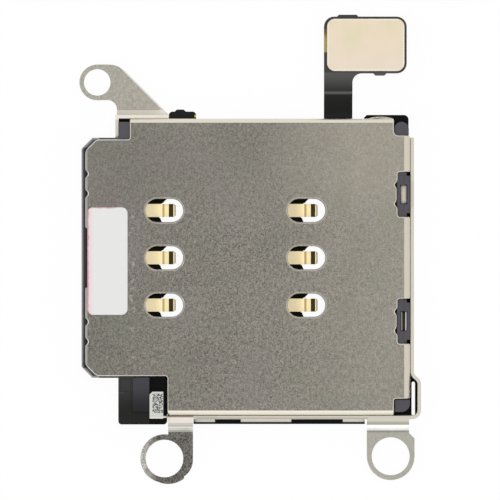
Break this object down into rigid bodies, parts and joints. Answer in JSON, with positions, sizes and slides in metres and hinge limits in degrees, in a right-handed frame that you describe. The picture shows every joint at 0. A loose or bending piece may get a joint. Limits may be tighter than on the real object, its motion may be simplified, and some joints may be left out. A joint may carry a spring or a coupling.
{
  "type": "sim card reader",
  "caption": "Flat steel-lidded reader for a small subscriber card, with contact springs under obround windows, screw ears, an ejector lever and a short flexible circuit.",
  "frame": {"origin": "under the middle of the contact field, on the underside of the flexible circuit", "axes": "+X away from the mouth that the tray enters, +Y towards the connector pad, +Z out of the steel lid"},
  "size_m": [0.0184, 0.0252, 0.0015],
  "materials": {
    "lid": "satin, speckled nickel plate",
    "frame": "satin nickel plate",
    "moulding": "fine moulded grain",
    "flex": "smooth cover film",
    "stiffener": "matt champagne",
    "housing": "smooth",
    "label": "matt",
    "bar": "satin",
    "lever": "satin",
    "pin": "satin",
    "gold": "pale gold plate",
    "switch": "pale gold plate",
    "pins": "gold plate",
    "anchors": "tinned"
  },
  "bodies": {
    "reader": {"shield_cover": "lid", "mounting_frame": "frame", "base_moulding": "moulding", "flex_circuit": "flex", "connector_stiffener": "stiffener", "connector_housing": "housing", "moisture_label": "label", "lever_pivot_pin": "pin", "contact_spring_1": "gold", "contact_spring_2": "gold", "contact_spring_3": "gold", "contact_spring_4": "gold", "contact_spring_5": "gold", "contact_spring_6": "gold", "switch_leaf": "switch", "switch_contact": "switch", "connector_pins_left": "pins", "connector_pins_right": "pins", "connector_anchor_lower": "anchors", "connector_anchor_upper": "anchors"},
    "slider": {"ejector_slider": "bar"},
    "lever": {"ejector_lever": "lever"}
  },
  "joints": [
    {"name": "ejector_push", "type": "slide", "parent": "reader", "child": "slider", "axis": [1, 0, 0], "range_m": [0, 0.00085]},
    {"name": "lever_turn", "type": "hinge", "parent": "reader", "child": "lever", "pos_m": [0.0082, -0.0036, 0.0009], "axis": [0, 0, 1], "range_deg": [0, 13]}
  ],
  "couplings": [
    {"joint": "lever_turn", "follows": "ejector_push", "rad_per_m": 266.67}
  ]
}
